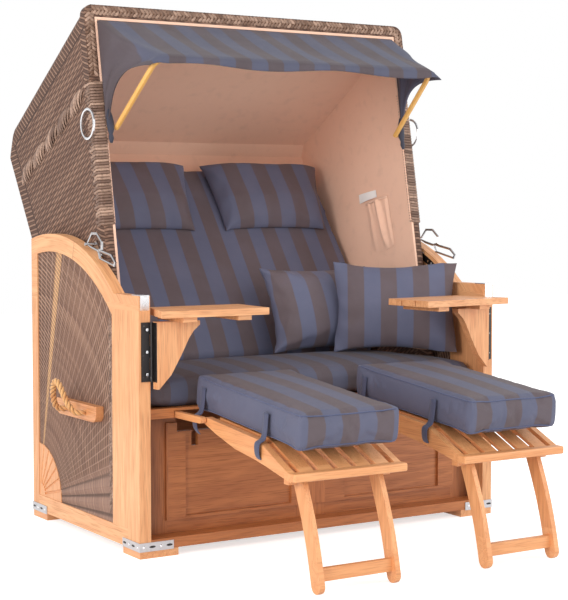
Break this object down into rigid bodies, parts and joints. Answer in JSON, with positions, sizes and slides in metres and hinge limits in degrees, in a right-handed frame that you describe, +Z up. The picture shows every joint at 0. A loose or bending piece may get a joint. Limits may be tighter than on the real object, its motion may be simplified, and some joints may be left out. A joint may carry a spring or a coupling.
{
  "type": "hooded beach chair",
  "caption": "wide hooded beach chair with boarded base, wicker sides, tilting wicker hood, folding awning, swinging side tables, pull-out footrests and striped cushions",
  "frame": {"origin": "middle of the whole chair in x and y with its footrests pulled out, on the floor", "axes": "+X to the right of someone who looks at the front, +Y to the back, +Z up"},
  "size_m": [1.4212, 1.6394, 1.5787],
  "materials": {
    "teak": "oiled, satin",
    "wicker": "woven flat strand, brown and grey",
    "lining": "plain woven",
    "striped_cloth": "woven in wide stripes",
    "steel": "bright",
    "black_steel": "black, satin",
    "rope": "twisted fibre",
    "bow_wood": "varnished"
  },
  "bodies": {
    "base": {"side_frame_left": "teak", "side_frame_right": "teak", "side_wicker_left": "wicker", "side_wicker_right": "wicker", "corner_fan_left": "teak", "corner_fan_right": "teak", "foot_front_left": "teak", "foot_front_right": "teak", "foot_rear_left": "teak", "foot_rear_right": "teak", "corner_strip_front_left": "steel", "corner_strip_front_right": "steel", "corner_strip_rear_left": "steel", "corner_strip_rear_right": "steel", "locking_bar_left": "steel", "locking_bar_right": "steel", "handle_block_left": "teak", "handle_block_right": "teak", "carry_rope_left": "rope", "carry_rope_right": "rope", "post_cap_left": "steel", "post_cap_right": "steel", "hinge_leaf_left": "black_steel", "hinge_leaf_right": "black_steel", "hood_pivot_left": "steel", "hood_pivot_right": "steel", "throw_pillow_left": "striped_cloth", "throw_pillow_right": "striped_cloth", "plinth_rail": "teak", "front_panel": "teak", "back_panel": "teak", "seat_deck": "teak", "seat_cushion": "striped_cloth"},
    "hood": {"hood_shell": "wicker", "hood_liner": "lining", "hood_braid": "wicker", "awning_cloth": "striped_cloth", "back_cushion": "striped_cloth", "headrest_left": "striped_cloth", "headrest_right": "striped_cloth"},
    "bow": {"awning_bow": "bow_wood"},
    "table_left": {"table_left": "teak", "table_bracket_left": "teak", "table_hinge_left": "black_steel"},
    "runner_left": {"footrest_runner_left": "teak"},
    "footrest_left": {"footrest_frame_left": "teak", "footrest_cushion_left": "striped_cloth"},
    "legs_left": {"footrest_legs_left": "teak"},
    "latch_left": {"latch_lever_left": "steel"},
    "ring_left": {"hood_ring_left": "steel"},
    "table_right": {"table_right": "teak", "table_bracket_right": "teak", "table_hinge_right": "black_steel"},
    "runner_right": {"footrest_runner_right": "teak"},
    "footrest_right": {"footrest_frame_right": "teak", "footrest_cushion_right": "striped_cloth"},
    "legs_right": {"footrest_legs_right": "teak"},
    "latch_right": {"latch_lever_right": "steel"},
    "ring_right": {"hood_ring_right": "steel"}
  },
  "joints": [
    {"name": "hood_recline", "type": "hinge", "parent": "base", "child": "hood", "pos_m": [0, 0.37848, 0.234], "axis": [-1, 0, 0], "range_deg": [0, 32]},
    {"name": "awning_fold", "type": "hinge", "parent": "hood", "child": "bow", "pos_m": [0, 0.15848, 1.21], "axis": [-1, 0, 0], "range_deg": [0, 60], "deforming": ["awning_cloth"]},
    {"name": "table_swing_left", "type": "hinge", "parent": "base", "child": "table_left", "pos_m": [-0.5885, -0.21632, 0.495], "axis": [0, 0, -1], "range_deg": [-1.6, 88.4]},
    {"name": "latch_lift_left", "type": "hinge", "parent": "hood", "child": "latch_left", "pos_m": [-0.58, 0.14848, 0.868], "axis": [-1, 0, 0], "range_deg": [0, 40]},
    {"name": "ring_swing_left", "type": "hinge", "parent": "hood", "child": "ring_left", "pos_m": [-0.5903, 0.18448, 1.266], "axis": [1, 0, 0], "range_deg": [-25, 25]},
    {"name": "footrest_slide_left", "type": "slide", "parent": "base", "child": "runner_left", "axis": [0, 1, 0], "range_m": [0, 0.46], "deforming": ["footrest_cushion_left"]},
    {"name": "footrest_tilt_left", "type": "hinge", "parent": "runner_left", "child": "footrest_left", "pos_m": [-0.3005, -0.32152, 0.39], "axis": [-1, 0, 0], "range_deg": [0, 5.5]},
    {"name": "legs_fold_left", "type": "hinge", "parent": "footrest_left", "child": "legs_left", "pos_m": [-0.3005, -0.71152, 0.283], "axis": [1, 0, 0], "range_deg": [0, 118]},
    {"name": "table_swing_right", "type": "hinge", "parent": "base", "child": "table_right", "pos_m": [0.5885, -0.21632, 0.495], "axis": [0, 0, 1], "range_deg": [-5.3, 84.7]},
    {"name": "latch_lift_right", "type": "hinge", "parent": "hood", "child": "latch_right", "pos_m": [0.58, 0.14848, 0.868], "axis": [-1, 0, 0], "range_deg": [0, 40]},
    {"name": "ring_swing_right", "type": "hinge", "parent": "hood", "child": "ring_right", "pos_m": [0.5903, 0.18448, 1.266], "axis": [1, 0, 0], "range_deg": [-25, 25]},
    {"name": "footrest_slide_right", "type": "slide", "parent": "base", "child": "runner_right", "axis": [0, 1, 0], "range_m": [0, 0.46], "deforming": ["footrest_cushion_right"]},
    {"name": "footrest_tilt_right", "type": "hinge", "parent": "runner_right", "child": "footrest_right", "pos_m": [0.243, -0.32152, 0.39], "axis": [-1, 0, 0], "range_deg": [0, 5.5]},
    {"name": "legs_fold_right", "type": "hinge", "parent": "footrest_right", "child": "legs_right", "pos_m": [0.243, -0.71152, 0.283], "axis": [1, 0, 0], "range_deg": [0, 118]}
  ],
  "couplings": [
    {"joint": "footrest_tilt_left", "follows": "footrest_slide_left", "rad_per_m": 0.208},
    {"joint": "footrest_tilt_right", "follows": "footrest_slide_right", "rad_per_m": 0.208}
  ]
}
